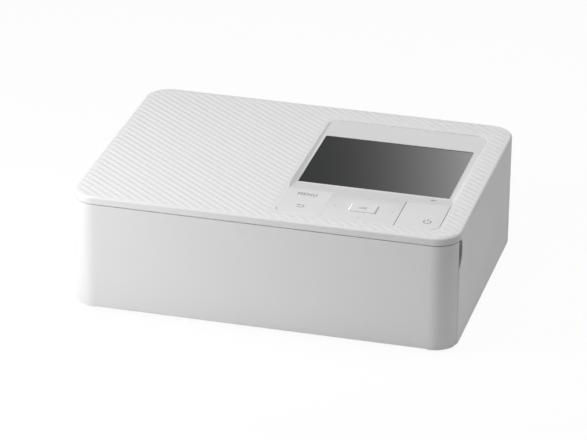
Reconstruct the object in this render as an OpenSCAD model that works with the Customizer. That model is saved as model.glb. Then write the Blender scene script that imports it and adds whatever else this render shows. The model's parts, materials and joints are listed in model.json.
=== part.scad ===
// Compact photo printer: a thermal dye-transfer mechanism in a flat rounded case.
// Frame: origin on the table under the middle of the case, +X right, +Y back, +Z up.
// The front cover opens downwards at -Y, and the ink door opens on the right at +X.

/* [Case] */
// Overall width
case_w = 182.2; // [180:0.2:186]
// Overall depth
case_d = 133.0; // [132:0.2:137]
// Height from the table to the top face
case_h = 57.6; // [57.4:0.1:60]
// Radius of the four upright corners
corner_r = 12; // [11:0.5:13]
// Radius along the top and bottom edges
edge_r = 1; // [0.6:0.1:1.2]
// Wall thickness of the case mouldings
wall = 2.2; // [2:0.1:2.4]
// Height of the rubber feet
foot_h = 1.5; // [1.2:0.1:1.8]
// Radius of a rubber foot
foot_r = 5; // [4:0.5:6]
// Height of the band that closes over the front cover
rim_h = 3.5; // [3:0.1:4]
// Height of the joint between the base and the upper case
split_z = 18; // [16:0.5:19]
// Wall thickness of the front cover and of the ink door
cover_t = 2.0; // [1.8:0.1:2.2]
// Depth of the front cover along the sides
cover_depth = 8.3; // [8:0.1:9]
// Visible gap between the covers and the case
seam = 0.4; // [0.3:0.05:0.5]

/* [Control panel] */
// Distance from the panel to the right side of the case
panel_side = 10.6; // [9:0.1:12]
// Width of the panel
panel_w = 76.6; // [76:0.1:80]
// Distance from the panel to the back of the case
panel_rear = 14.8; // [13.5:0.1:16.5]
// Distance from the keys to the front of the case
key_margin = 9; // [8.8:0.1:9.5]
// Length of the keys, front to back
key_l = 26.5; // [25.5:0.1:27.5]
// Corner radius of the panel
panel_r = 4.5; // [3:0.5:6]
// Depth of the panel below the top at its rear edge
sink_back = 0.4; // [0.3:0.05:0.8]
// Depth of the panel below the top at its front edge
sink_front = 1.5; // [1:0.1:1.6]
// Width of the screen window
screen_w = 72; // [70:0.5:73]
// Length of the screen window
screen_d = 53.5; // [50:0.5:54]
// Thickness of a key plate
key_t = 1.6; // [1.4:0.1:1.8]
// Gap around the keys
key_gap = 0.25; // [0.2:0.05:0.35]
// Width of the left key plate
menu_w = 21.4; // [20:0.1:23]
// Width of the four-way key plate
arrows_w = 34.5; // [33:0.1:36]
// Width of the centre key
ok_w = 13.4; // [12:0.1:15]
// Length of the centre key
ok_d = 8; // [7:0.1:9]

/* [Print mechanism] */
// Height of the paper path
path_z = 23.0; // [22.9:0.05:23.3]
// Share of the spare depth that lies in front of the mechanism
front_share = 0.36; // [0.3:0.01:0.45]
// Radius of the platen roller
platen_r = 6; // [5.8:0.1:6.2]
// Room at each end of the rollers, for the drive on the left and the ink bay on the right
side_room = 39.1; // [38.5:0.1:40]
// Distance from the rollers to the outer face of the left side plate
left_gap = 12.2; // [12:0.1:12.6]
// Distance from the rollers to the outer face of the right side plate
right_gap = 6.2; // [6:0.1:6.6]
// Sheet thickness of the chassis
sheet = 1.2; // [1:0.1:1.4]
// Radius of the roller shafts
shaft_r = 2.5; // [2:0.1:2.8]
// Radial running clearance of shafts in their bores
run_fit = 0.05; // [0.03:0.01:0.08]
// Module of the gears
gear_m = 0.8; // [0.79:0.01:0.81]
// Width of a gear
gear_w = 3; // [2.5:0.1:3.2]
// Width of the paper opening beyond the rollers
slot_extra = 6; // [4:0.5:7]

/* [Ink cassette] */
// Outer radius of a ribbon tube
tube_r = 10.5; // [10:0.1:10.6]
// Wall of a ribbon tube
tube_t = 0.9; // [0.8:0.05:1]
// Distance between the two ribbon tubes
tube_pitch = 41; // [41:0.1:42]
// Distance from the cassette to the outer face of the left side plate
cassette_gap = 2.7; // [2.6:0.1:3]
// Length of the cassette beyond the right side plate
cassette_grip = 16.8; // [16:0.2:17.6]
// Length of the eject stroke
eject = 6; // [4:0.5:6]

/* [Hidden] */
$fn = 48;
e = 0.01;

// Case levels and edges
half_w = case_w / 2;
half_d = case_d / 2;
base_z = foot_h;
floor_z = base_z + wall;
rim_z = case_h - rim_h;
ceiling_z = case_h - wall;
lip_t = 1;
lip_z = case_h - lip_t;
corner_x = half_w - corner_r;
corner_y = half_d - corner_r;
cover_back = -half_d + cover_depth;
case_front = cover_back + seam;
inner_gap = 0.4;
inner_t = 2;
inner_front = case_front + inner_gap + inner_t;
door_slack = 0.3;

// Screws from below into the rear corners, and the feet
rear_screw = [half_w - 7.1, half_d - 7.5];
foot_x = half_w - 15.1;
foot_y = half_d - 16.5;

// Power inlet
inlet_x = -half_w + 19.1;
inlet_z = floor_z + 2.5;
inlet_w = 10;
inlet_h = 8;

// Front cover hinge
cover_pin_r = 1;
cover_ear_r = 1.9;
cover_axis_y = -half_d + 4;
cover_axis_z = base_z + 3;
cover_bottom = cover_axis_z - 2.7;
ear_w = 3.7;
ear_x = half_w - corner_r - 2.4 - ear_w;
lug_gap = 0.4;
lug_w = 2.4;

// Ink door hinge: its axis lies just under the rear corner's surface
door_barrel_r = 1.3;
door_angle = 18;
door_swing_r = door_barrel_r + 0.5;
door_axis_x = corner_x + (corner_r - door_barrel_r) * cos(door_angle);
door_axis_y = corner_y + (corner_r - door_barrel_r) * sin(door_angle);
door_pin_r = 0.8;
door_bottom = base_z + 0.95;
door_top = lip_z - 0.15;
door_shelf = door_bottom - 0.15;
scoop_y = -half_d + 0.3;
scoop_z = rim_z - 5.5;
scoop_r = 12.2;
scoop_undercut = 0.32;
scoop_back = scoop_y + scoop_r + 0.4;
latch_y = -half_d + 17.5;

// Control panel: everything on it is built level and then tilted with it
panel_right = half_w - panel_side;
panel_left = panel_right - panel_w;
panel_x = (panel_left + panel_right) / 2;
panel_back = half_d - panel_rear;
panel_front = -half_d + key_margin;
panel_split = panel_front + key_l;
panel_mid = (panel_front + panel_back) / 2;
panel_l = panel_back - panel_front;
panel_tilt = atan((sink_front - sink_back) / (panel_back - panel_split));
panel_t = 2;
ramp_l = 3.4;
window_t = 0.9;
window_fit = 0.08;
window_dx = -0.8;
window_rim = 1.5;
screen_front = 10.7;
lcd_t = 3;
key_top = case_h;
key_z = key_top - key_t;
carrier_z = key_z - 2.4;
carrier_t = 1;
fulcrum_gap = 0.3;
key_rear_gap = 0.15;
ok_gap = 0.15;
key_board_z = carrier_z - 3.2;
board_t = 1.6;
switch_top = key_board_z + board_t + 1.1;
key_y = (panel_front + panel_split) / 2;
menu_x = panel_left + menu_w / 2;
arrows_x = panel_left + menu_w + arrows_w / 2;
power_w = panel_w - menu_w - arrows_w;
power_x = panel_right - power_w / 2;
rock_x = 12;
rock_y = 8;
tilt_y = 9;
hole_r = 2.2;
ring_r = 5.6;
ok_raise = 0.4;

// Main board, card slot and data port
main_z = ceiling_z - 5.2;
main_left = -half_w + wall + 1.5;
main_right = panel_left - 6.9;
main_front = -half_d + 19.5;
main_back = half_d - 10.5;
card_z = ceiling_z - 3.4;
card_y = main_front + 26;
card_w = 24.6;
data_y = card_y + 31;
data_w = 9.4;
board_post_x = -half_w + 9.1;
board_post_y = [main_front + 3, main_back - 3];
wall_in = -half_w + wall;

// Widths of the mechanism
roller_l = case_w - 2 * side_room;
left_plate = roller_l / 2 + left_gap;
right_plate = roller_l / 2 + right_gap;
slot_w = roller_l + slot_extra;
ribbon_w = roller_l - 4;
cassette_left = left_plate - cassette_gap;
cassette_right = right_plate + cassette_grip;

// Depths of the mechanism: it takes mech_l from the pickup tyres to the feed motor,
// and mech_front of that lies before the platen
mech_l = 104.7;
mech_front = 58;
platen_y = inner_front + front_share * (half_d - wall - inner_front - mech_l) + mech_front;
chassis_front = inner_front + 3.4;
chassis_back = half_d - 8.5;
chassis_screw_x = [-left_plate + 14.2, right_plate - 8.2];
chassis_screw_y = [chassis_front + 8, chassis_back - 8];

// Gear train, in tooth counts; the shafts are set out from the platen by the angles of their centre lines
platen_n = 30;
idler_n = 23;
capstan_n = 20;
takeup_n = 24;
pickup_n = 20;
small_n = 14;
large_n = 40;
pinion_n = 10;
cam_n = 18;
function pitch_r(n) = n * gear_m / 2;
function beside(p, n1, n2, a) = p + (pitch_r(n1) + pitch_r(n2)) * [cos(a), sin(a)];
idler_a = 184;
capstan_a = 168;
takeup_a = 88;
pickup_a = 150.6;
small_a = 30;
feed_a = -20;
cam_motor_a = 20;
platen_p = [platen_y, path_z - platen_r];
idler_p = beside(platen_p, platen_n, idler_n, idler_a);
capstan_p = beside(idler_p, idler_n, capstan_n, capstan_a);
takeup_p = beside(idler_p, idler_n, takeup_n, takeup_a);
pickup_p = beside(capstan_p, capstan_n, pickup_n, pickup_a);
small_p = beside(platen_p, platen_n, small_n, small_a);
feed_p = beside(small_p, large_n, pinion_n, feed_a);
supply_p = takeup_p + [tube_pitch, 0];
cam_p = platen_p + [0, 23];
cam_motor_p = beside(cam_p, cam_n, pinion_n, cam_motor_a);
// Turn of a gear so that its teeth meet the gaps of the one that it runs on
function mesh(turn, n1, n2, a) = a + 180 - (turn - a) * n1 / n2 + 180 / n2;
idler_turn = mesh(0, platen_n, idler_n, idler_a);
capstan_turn = mesh(idler_turn, idler_n, capstan_n, capstan_a);
takeup_turn = mesh(idler_turn, idler_n, takeup_n, takeup_a);
pickup_turn = mesh(capstan_turn, capstan_n, pickup_n, pickup_a);
small_turn = mesh(0, platen_n, small_n, small_a);
feed_turn = mesh(0, large_n, pinion_n, feed_a);
cam_motor_turn = mesh(0, cam_n, pinion_n, cam_motor_a);

// Gear planes, left of the left side plate
plane_a = -left_plate - 1.8;
plane_b = plane_a - gear_w - 0.5;
bracket_x = plane_b - gear_w - 0.6;
plate_in = -left_plate + sheet;
right_in = right_plate - sheet;

// Rollers and head
capstan_r = path_z - capstan_p[1];
pinch_r = 4;
pinch_p = [capstan_p[0], path_z + 0.3 + pinch_r];
pickup_r = 6;
pan_z = floor_z + 1.3;
mech_z = pan_z + sheet;
head_pivot = [chassis_back - 8, path_z + 19];
head_down = 2.35;
head_z = path_z + 0.65 + head_down;
arm_z = takeup_p[1] + tube_r + 1.8;
arm_t = 1.2;
pivot_r = 2;
cam_r = arm_z - cam_p[1] - 1.5;
cam_throw = 1.1;
arm_left = plate_in + 0.3;
arm_right = right_in - 0.3;
bracket_posts = [[small_p[0] + 24, small_p[1] + 10], [platen_y - 34, 41], [feed_p[0] + 9, mech_z + 3.4]];

// Motors, as long as the room beside the bracket allows
motor_face = bracket_x - sheet;
motor_room = motor_face + half_w - wall;
feed_motor_l = motor_room - 3.6;
cam_motor_l = motor_room - 2.6;
motor_bore = motor_room - 6.6;

// Fan in the rear right corner
fan_p = [right_plate + 11.8, 36];
fan_half = 10;
fan_hub = 3.8;
fan_y = half_d - wall - 7.3;

// Cassette, its notch and the lever that ejects it
block_right = cassette_right - 1.5;
block_left = cassette_right - 17;
notch_x = cassette_right - 15;
lever_p = [cassette_right - 1, takeup_p[0] - tube_r - 6];
lever_z = path_z + 1.6;
lever_h = 3.6;
lever_pin_r = 1.45;

// ---- shared shapes ----

module rounded(w, d, r) {
  square([w - 2 * r, d], center = true);
  square([w, d - 2 * r], center = true);
  for (sx = [-1, 1], sy = [-1, 1])
    translate([sx * (w / 2 - r), sy * (d / 2 - r)]) circle(r);
}

module outline(inset = 0) {
  rounded(case_w - 2 * inset, case_d - 2 * inset, corner_r - inset);
}

// Quarter of a disc, between the two axes
module quarter(r) {
  intersection() {
    circle(r, $fn = 24);
    square(r);
  }
}

// Solid with the case's outline and a rounded top edge
module soft_block(z0, z1) {
  translate([0, 0, z0]) linear_extrude(z1 - z0 - edge_r) outline();
  translate([0, 0, z0]) linear_extrude(z1 - z0) outline(edge_r);
  translate([0, 0, z1 - edge_r]) for (flip_x = [0, 1], flip_y = [0, 1])
    mirror([flip_x, 0, 0]) mirror([0, flip_y, 0]) {
      translate([corner_x, corner_y, 0]) rotate_extrude(angle = 90)
        translate([corner_r - edge_r, 0]) quarter(edge_r);
      rotate([90, 0, 90]) linear_extrude(corner_x) translate([half_d - edge_r, 0]) quarter(edge_r);
      translate([0, corner_y, 0]) rotate([90, 0, 0])
        linear_extrude(corner_y) translate([half_w - edge_r, 0]) quarter(edge_r);
    }
}

// The same with the rounded edge at the bottom
module soft_tray(z0, z1) {
  translate([0, 0, z0 + z1]) mirror([0, 0, 1]) soft_block(z0, z1);
}

module box(x0, x1, y0, y1, z0, z1) {
  translate([x0, y0, z0]) cube([x1 - x0, y1 - y0, z1 - z0]);
}

// Box that is symmetric about the middle of the case
module wide_box(w, y0, y1, z0, z1) {
  box(-w / 2, w / 2, y0, y1, z0, z1);
}

// Cylinder along X through the point p = [y, z]
module rod(p, r, x0, x1) {
  translate([x0, p[0], p[1]]) rotate([90, 0, 90]) cylinder(h = x1 - x0, r = r);
}

// Cylinder along Z through the point p = [x, y]
module post(p, r, z0, z1) {
  translate([p[0], p[1], z0]) cylinder(h = z1 - z0, r = r);
}

// Plan shape of the side that belongs to the ink door
module door_sector(front) {
  polygon([[corner_x, corner_y],
    [corner_x + 30 * cos(door_angle), corner_y + 30 * sin(door_angle)],
    [corner_x + 30, front], [corner_x, front]]);
}

// Room for the ink door in the case wall
module door_cut(front, z0, z1) {
  translate([0, 0, z0]) linear_extrude(z1 - z0) intersection() {
    door_sector(front);
    difference() {
      outline(-1);
      outline(cover_t + door_slack);
    }
  }
}

// Finger slot behind the front cover's edge, wider inside so that its edge is undercut
module scoop() {
  translate([half_w - 8, scoop_y, scoop_z]) rotate([0, 90, 0])
    cylinder(h = 9, r1 = scoop_r + 8 * scoop_undercut, r2 = scoop_r - scoop_undercut);
}

// One gear in the Y-Z plane with its face at x, width w and bore r
module gear(n, p, turn, x, w, r) {
  backlash = 0.2;
  pr = pitch_r(n);
  half_tooth = (PI * gear_m / 2 - backlash) / 2;
  tip = pr + 0.85 * gear_m;
  root = pr - 1.15 * gear_m;
  tip_half = half_tooth - 0.85 * gear_m * tan(22);
  root_half = half_tooth + 1.15 * gear_m * tan(16);
  function at(r, half, k) = let(a = turn + k * 360 / n + half / r * 180 / PI) [r * cos(a), r * sin(a)];
  translate([x, p[0], p[1]]) rotate([90, 0, 90]) difference() {
    linear_extrude(w) polygon([for (k = [0:n - 1])
      each [at(root, -root_half, k), at(tip, -tip_half, k), at(tip, tip_half, k), at(root, root_half, k)]]);
    if (r > 0) translate([0, 0, -1]) cylinder(h = w + 2, r = r);
  }
}

// ---- casings and covers ----

module upper_case() color("whitesmoke") difference() {
  union() {
    difference() {
      soft_block(split_z, case_h);
      translate([0, 0, split_z - 1]) linear_extrude(ceiling_z - split_z + 1) outline(wall);
      box(-half_w - 1, half_w + 1, -half_d - 1, case_front, split_z - 1, rim_z);
    }
    for (sx = [-1, 1]) post([sx * rear_screw[0], rear_screw[1]], 3, split_z, ceiling_z + 1);
    for (y = board_post_y) post([board_post_x, y], 2.6, main_z + board_t, ceiling_z + 1);
    difference() {
      box(panel_left - 2, panel_right + 2, panel_front - 1.4, panel_back + 2,
        carrier_z + carrier_t, ceiling_z + e);
      box(panel_left + 2, panel_right - 2, panel_front + 1, panel_back - 2, carrier_z, ceiling_z + 1);
    }
  }
  translate([panel_x, panel_mid, ceiling_z - 4]) linear_extrude(10) rounded(panel_w, panel_l, panel_r);
  // side that the ink door closes
  door_cut(scoop_back, split_z - 1, lip_z);
  door_cut(-half_d, split_z - 1, rim_z);
  post([door_axis_x, door_axis_y], door_swing_r, split_z - 1, lip_z);
  post([door_axis_x, door_axis_y], door_pin_r + run_fit, lip_z - 1, lip_z + 0.65);
  // finger scoop for the front cover
  difference() {
    mirror([1, 0, 0]) scoop();
    box(-half_w - 2, 0, -half_d, 0, rim_z, case_h + 9);
  }
  // paper exit, air vents, card slot and data port
  wide_box(slot_w - 2, half_d - wall - 1, half_d + 1, path_z - 2, path_z + 3.5);
  for (k = [0:6]) translate([fan_p[0] - 9 + 2.6 * k, 0, 0])
    box(0, 1.2, half_d - wall - 1, half_d + 1, fan_p[1] - 9, fan_p[1] + 9);
  box(-half_w - 1, wall_in + 1, card_y - card_w / 2, card_y + card_w / 2, card_z - 0.2, card_z + 2.6);
  box(-half_w - 1, wall_in + 1, data_y - data_w / 2, data_y + data_w / 2, card_z - 0.2, card_z + 3.0);
  for (sx = [-1, 1]) post([sx * rear_screw[0], rear_screw[1]], 1.2, split_z - 1, split_z + 10);
}

module base_case() color("whitesmoke") difference() {
  union() {
    difference() {
      soft_tray(base_z, split_z);
      translate([0, 0, floor_z]) linear_extrude(split_z) outline(wall);
      box(-half_w - 1, half_w + 1, -half_d - 1, case_front, 0, split_z + 1);
      door_cut(-half_d, door_shelf, door_shelf + split_z);
      post([door_axis_x, door_axis_y], door_swing_r, door_shelf, split_z + 1);
    }
    // ears for the front cover's pins
    for (s = [-1, 1]) {
      x0 = s > 0 ? ear_x : -ear_x - ear_w;
      rod([cover_axis_y, cover_axis_z], cover_ear_r, x0, x0 + ear_w);
      box(x0, x0 + ear_w, cover_axis_y, case_front + 0.4, floor_z - 1, cover_axis_z + cover_ear_r);
    }
    // bosses under the chassis, for the case screws and the cassette lever
    for (x = chassis_screw_x, y = chassis_screw_y) post([x, y], 4, floor_z - 1, pan_z);
    for (sx = [-1, 1]) post([sx * rear_screw[0], rear_screw[1]], 3, floor_z - 1, split_z);
    post(lever_p, 3, floor_z - 1, lever_z);
    post(lever_p, lever_pin_r, floor_z, lever_z + lever_h + 0.8);
  }
  for (s = [-1, 1])
    rod([cover_axis_y, cover_axis_z], cover_pin_r + run_fit, s > 0 ? ear_x - 1 : -ear_x - ear_w - 1,
      s > 0 ? ear_x + ear_w + 1 : -ear_x + 1);
  post([door_axis_x, door_axis_y], door_pin_r + run_fit, door_shelf - 0.65, door_shelf + 1);
  for (sx = [-1, 1], sy = [-1, 1]) post([sx * foot_x, sy * foot_y], foot_r, 0, base_z + 0.5);
  for (sx = [-1, 1]) post([sx * rear_screw[0], rear_screw[1]], 1.6, 0, split_z + 1);
  for (sx = [-1, 1]) post([sx * rear_screw[0], rear_screw[1]], 3, 0, base_z + 1.2);
  for (x = chassis_screw_x, y = chassis_screw_y) post([x, y], 1.3, pan_z - 2.2, pan_z + 1);
  // opening for the power inlet
  box(inlet_x - inlet_w / 2, inlet_x + inlet_w / 2, half_d - wall - 1, half_d + 1, inlet_z, inlet_z + inlet_h);
  // air slots in the bottom
  for (k = [0:9]) translate([right_plate - 8.2 + 2.4 * k, 0, 0]) box(0, 1.2, -20, 20, 0, floor_z + 1);
}

module front_cover() color("whitesmoke") difference() {
  union() {
    difference() {
      translate([0, 0, cover_bottom]) linear_extrude(rim_z - seam - cover_bottom) difference() {
        outline();
        outline(cover_t);
      }
      box(-half_w - 1, half_w + 1, cover_back, half_d + 1, 0, case_h);
    }
    // hinge lugs with their pins
    for (s = [-1, 1]) {
      lug = ear_x + ear_w + lug_gap;
      a = s > 0 ? lug : -lug - lug_w;
      rod([cover_axis_y, cover_axis_z], cover_ear_r, a, a + lug_w);
      box(a, a + lug_w, -half_d + 1, cover_axis_y, cover_axis_z - cover_ear_r, cover_axis_z + cover_ear_r);
      rod([cover_axis_y, cover_axis_z], cover_pin_r, s > 0 ? ear_x - lug_gap : -lug - 1,
        s > 0 ? lug + 1 : -ear_x + lug_gap);
    }
    // stiffening rib
    wide_box(case_w - 32.2, -half_d + cover_t - e, -half_d + cover_t + 1.2, rim_z - 14.1, rim_z - 12.5);
  }
  // rounded lower rear corners, which swing past the case
  for (s = [-1, 1]) translate([s * half_w, cover_back, cover_bottom]) difference() {
    cube([16, 5, 5], center = true);
    translate([-9, -2.5, 2.5]) rotate([0, 90, 0]) cylinder(h = 18, r = 2.5);
  }
  // rounded lower front edge
  difference() {
    box(-corner_x, corner_x, -half_d - 1, -half_d + edge_r, cover_bottom - 1, cover_bottom + edge_r);
    rod([-half_d + edge_r, cover_bottom + edge_r], edge_r, -half_w, half_w);
  }
}

module ink_door() color("whitesmoke") difference() {
  union() {
    translate([0, 0, door_bottom]) linear_extrude(door_top - door_bottom) {
      intersection() {
        door_sector(case_front);
        difference() {
          outline();
          outline(cover_t);
        }
      }
      translate([door_axis_x, door_axis_y]) circle(door_barrel_r);
    }
    post([door_axis_x, door_axis_y], door_pin_r, door_bottom - 0.7, door_top + 0.7);
    // stiffening ribs and latch hook
    for (z = [door_bottom + 11.55, door_top - 10.45])
      box(half_w - cover_t - 1, half_w - cover_t + 0.5, latch_y + 5, half_d - 18.5, z, z + 1.4);
    box(half_w - cover_t - 2.6, half_w - cover_t + 0.5, latch_y, latch_y + 3, 28, 32);
  }
  scoop();
  box(half_w - 20, half_w + 1, -half_d, scoop_back + 0.2, rim_z - 0.2, case_h);
}
module inner_front_panel() color("dimgray") difference() {
  translate([0, 0, floor_z]) linear_extrude(key_board_z - 0.3 - floor_z) intersection() {
    outline(wall + 0.3);
    translate([-half_w, case_front + inner_gap]) square([case_w, inner_t]);
  }
  wide_box(slot_w, -half_d, 0, mech_z + 0.3, path_z + 11);
  scoop();
  mirror([1, 0, 0]) scoop();
}

module ink_bay_frame() color("dimgray") difference() {
  box(half_w - 5.2, half_w - 3.2, chassis_front, half_d - 11.5, floor_z, ceiling_z);
  box(half_w - 9, half_w, takeup_p[0] - tube_r - 3, supply_p[0] + tube_r + 3,
    path_z - 2, takeup_p[1] + tube_r + 2.5);
  box(half_w - 9, half_w, latch_y - 0.6, latch_y + 5, 27, 33);
  box(half_w - 9, half_w, lever_p[1] - 6, lever_p[1] + 12, lever_z - 2, lever_z + 6);
}

module rubber_feet() color("dimgray")
  for (sx = [-1, 1], sy = [-1, 1]) post([sx * foot_x, sy * foot_y], foot_r, 0, base_z + 0.5);

module case_screws() color("silver") {
  for (sx = [-1, 1]) {
    post([sx * rear_screw[0], rear_screw[1]], 2.6, base_z + 0.2, base_z + 1.2);
    post([sx * rear_screw[0], rear_screw[1]], 1.15, base_z + 1.2, split_z + 8);
  }
  for (x = chassis_screw_x, y = chassis_screw_y) {
    post([x, y], 2.5, mech_z, mech_z + 1.2);
    post([x, y], 1.2, pan_z - 2, mech_z + e);
  }
}

// ---- control panel ----

// Puts a level shape on the tilted panel, with y counted from the panel's front edge
module on_panel() {
  translate([panel_x, panel_split, case_h - sink_front]) rotate([panel_tilt, 0, 0]) children();
}

// Box of the screen's outline, inset all round
module screen_box(inset, z0, z1) {
  box(-screen_w / 2 + window_dx + inset, screen_w / 2 + window_dx - inset, screen_front + inset,
    screen_front + screen_d - inset, z0, z1);
}

module control_panel() color("gainsboro") difference() {
  intersection() {
    on_panel() difference() {
      union() {
        box(-panel_w / 2, panel_w / 2, 0, panel_back - panel_split + 1, -panel_t, 0);
        translate([-panel_w / 2, 0, 0]) rotate([90, 0, 90]) linear_extrude(panel_w)
          polygon([[0, -1], [0, sink_front], [0.8, sink_front], [ramp_l, 0], [ramp_l, -1]]);
      }
      screen_box(0, -window_t - 0.1, 1);
      screen_box(window_rim, -panel_t - 1, 1);
    }
    translate([panel_x, panel_mid, ceiling_z - 6])
      linear_extrude(12) rounded(panel_w - 0.2, panel_l - 0.2, panel_r);
  }
  box(panel_left - 1, half_w, panel_front - 1, panel_split + key_rear_gap / 2, ceiling_z - 9, case_h + 1);
}

module screen_window() color("black") on_panel() screen_box(window_fit, -window_t, -0.02);

module lcd_module() color("darkslategray") on_panel() {
  box(-screen_w / 2 + window_dx - 1, screen_w / 2 + window_dx + 1, screen_front - 1.5,
    screen_front + screen_d + 3, -panel_t - lcd_t, -panel_t - 0.05);
}

module key_carrier() color("silver") {
  difference() {
    box(panel_left - 1.8, panel_right + 1.8, panel_front - 0.2, panel_split - 0.6,
      carrier_z, carrier_z + carrier_t);
    for (x = [menu_x, power_x], s = [-1, 1])
      post([x, key_y + rock_y * s], hole_r, carrier_z - 1, carrier_z + 3);
    for (s = [-1, 1]) {
      post([arrows_x + rock_x * s, key_y], hole_r, carrier_z - 1, carrier_z + 3);
      post([arrows_x, key_y + tilt_y * s], hole_r, carrier_z - 1, carrier_z + 3);
    }
    post([arrows_x, key_y], ring_r, carrier_z - 1, carrier_z + 3);
  }
  // ridge that the left key rocks on and the rear ridge of the right key
  box(menu_x - 7, menu_x + 7, key_y - 0.4, key_y + 0.4, carrier_z, key_z - fulcrum_gap);
  box(power_x - 7, power_x + 7, panel_split - 3, panel_split - 2, carrier_z, key_z - fulcrum_gap);
}

// Key plate with its outer corners rounded to the panel
module key_plate(x, w) {
  translate([0, 0, key_z]) linear_extrude(key_t) intersection() {
    translate([x - w / 2 + key_gap / 2, panel_front]) square([w - key_gap, key_l - key_rear_gap / 2]);
    translate([panel_x, panel_mid])
      rounded(panel_w - 2 * key_gap, panel_l - 2 * key_gap, panel_r - key_gap);
  }
}

module key_stem(x, y, z = key_z) {
  post([x, y], 1.4, switch_top + 0.35, z + 0.5);
}

module menu_key() color("whitesmoke") {
  key_plate(menu_x, menu_w);
  for (s = [-1, 1]) key_stem(menu_x, key_y + rock_y * s);
}

module arrow_key_pivot() color("silver") {
  difference() {
    post([arrows_x, key_y], ring_r + 1.8, carrier_z + carrier_t + 0.3, carrier_z + carrier_t + 1);
    post([arrows_x, key_y], ring_r, carrier_z, key_z);
  }
}

module arrow_key() color("whitesmoke") {
  difference() {
    key_plate(arrows_x, arrows_w);
    box(arrows_x - ok_w / 2, arrows_x + ok_w / 2, key_y - ok_d / 2, key_y + ok_d / 2, key_z - 1, case_h + 1);
  }
  for (s = [-1, 1]) {
    key_stem(arrows_x + rock_x * s, key_y);
    key_stem(arrows_x, key_y + tilt_y * s);
  }
}

module ok_key() color("white") {
  g = ok_gap;
  box(arrows_x - ok_w / 2 + g, arrows_x + ok_w / 2 - g, key_y - ok_d / 2 + g, key_y + ok_d / 2 - g,
    key_z + 0.4, key_top + ok_raise);
  key_stem(arrows_x, key_y, key_z + 0.4);
}

module power_key() color("whitesmoke") {
  key_plate(power_x, power_w);
  key_stem(power_x, key_y - rock_y);
}

module key_board() color("seagreen") {
  box(panel_left + 1, panel_right - 1, panel_front + 1.2, panel_split - 1, key_board_z, key_board_z + board_t);
  for (x = [panel_left + 3, panel_right - 3], y = [panel_front + 3, panel_split - 3])
    post([x, y], 1, key_board_z + board_t - e, carrier_z);
}

module key_switches() color("dimgray") {
  z = key_board_z + board_t;
  pads = [[menu_x, key_y - rock_y], [menu_x, key_y + rock_y], [arrows_x - rock_x, key_y],
    [arrows_x + rock_x, key_y], [arrows_x, key_y - tilt_y], [arrows_x, key_y + tilt_y], [arrows_x, key_y],
    [power_x, key_y - rock_y]];
  for (p = pads) {
    box(p[0] - 2.2, p[0] + 2.2, p[1] - 2.2, p[1] + 2.2, z, z + 0.8);
    post(p, 1, z + 0.7, switch_top);
  }
}

// ---- electronics ----

module main_board() color("seagreen") {
  difference() {
    box(main_left, main_right, main_front, main_back, main_z, main_z + board_t);
    for (y = board_post_y) post([board_post_x, y], 1.5, main_z - 1, main_z + 3);
  }
  // legs that hold the board down from the ceiling
  for (y = [main_front + 11, main_back - 20])
    box(main_right - 25, main_right - 21, y, y + 4, main_z + board_t - e, ceiling_z - 0.1);
}

module board_parts() color("black") {
  z = main_z + board_t;
  x = main_right;
  box(x - 39, x - 23, -18, -2, z, z + 1.4);
  box(x - 39, x - 27, 8, 20, z, z + 1.2);
  box(x - 19, x - 9, 2, 16, z, z + 1.1);
  for (k = [0:3]) post([main_left + 23.4 + 9 * k, main_back - 10], 3, z, z + 2.6);
  for (k = [0:2]) box(x - 17, x - 5, main_front + 7 + 9 * k, main_front + 13 + 9 * k, z, z + 2.4);
}

module card_socket() color("silver") difference() {
  box(wall_in + 0.3, wall_in + 28, card_y - card_w / 2 - 1.7, card_y + card_w / 2 + 1.7,
    main_z + board_t, card_z + 3);
  box(-half_w, wall_in + 26, card_y - card_w / 2 + 0.1, card_y + card_w / 2 - 0.1, card_z - 0.1, card_z + 2.5);
}

module usb_socket() color("silver") difference() {
  box(wall_in + 0.3, wall_in + 8, data_y - data_w / 2 - 0.3, data_y + data_w / 2 + 0.3,
    main_z + board_t, card_z + 3.3);
  box(-half_w, wall_in + 7, data_y - data_w / 2 + 0.3, data_y + data_w / 2 - 0.3, card_z, card_z + 2.9);
}

module power_inlet() color("dimgray") difference() {
  box(inlet_x - inlet_w / 2 - 1.5, inlet_x + inlet_w / 2 + 1.5, half_d - wall - 7.6, half_d - wall - 0.2,
    floor_z, inlet_z + inlet_h + 1.5);
  box(inlet_x - inlet_w / 2 + 0.6, inlet_x + inlet_w / 2 - 0.6, half_d - wall - 6.4, half_d,
    inlet_z + 0.6, inlet_z + inlet_h - 0.6);
}

// Flat cables from the screen and from the key board to the main board
module flat_cables() color("wheat") {
  z = main_z - 0.3;
  x = main_right - 11;
  box(x, panel_x - 24.8, panel_split + 45, panel_split + 65, z, main_z);
  box(x, panel_left + 6, key_y - 5.75, key_y + 4.25, z - 0.3, z);
}

module cooling_fan() color("dimgray") difference() {
  box(fan_p[0] - fan_half, fan_p[0] + fan_half, fan_y, fan_y + 7, fan_p[1] - fan_half, fan_p[1] + fan_half);
  translate([fan_p[0], fan_y - 1, fan_p[1]]) rotate([-90, 0, 0]) difference() {
    cylinder(h = 9, r = fan_half - 0.8);
    translate([0, 0, 6]) cylinder(h = 9, r = fan_hub);
    for (a = [45, 135]) rotate(a) translate([-15, -0.8, 6.6]) cube([30, 1.6, 9]);
  }
}

module fan_rotor() color("black") translate([fan_p[0], fan_y + 0.4, fan_p[1]]) rotate([-90, 0, 0]) {
  cylinder(h = 4.3, r = fan_hub);
  for (k = [0:6]) rotate(k * 360 / 7) translate([fan_hub - 0.5, -0.5, 0.6])
    cube([fan_half - fan_hub - 0.9, 1, 3]);
}

// ---- mechanism frame ----

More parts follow.
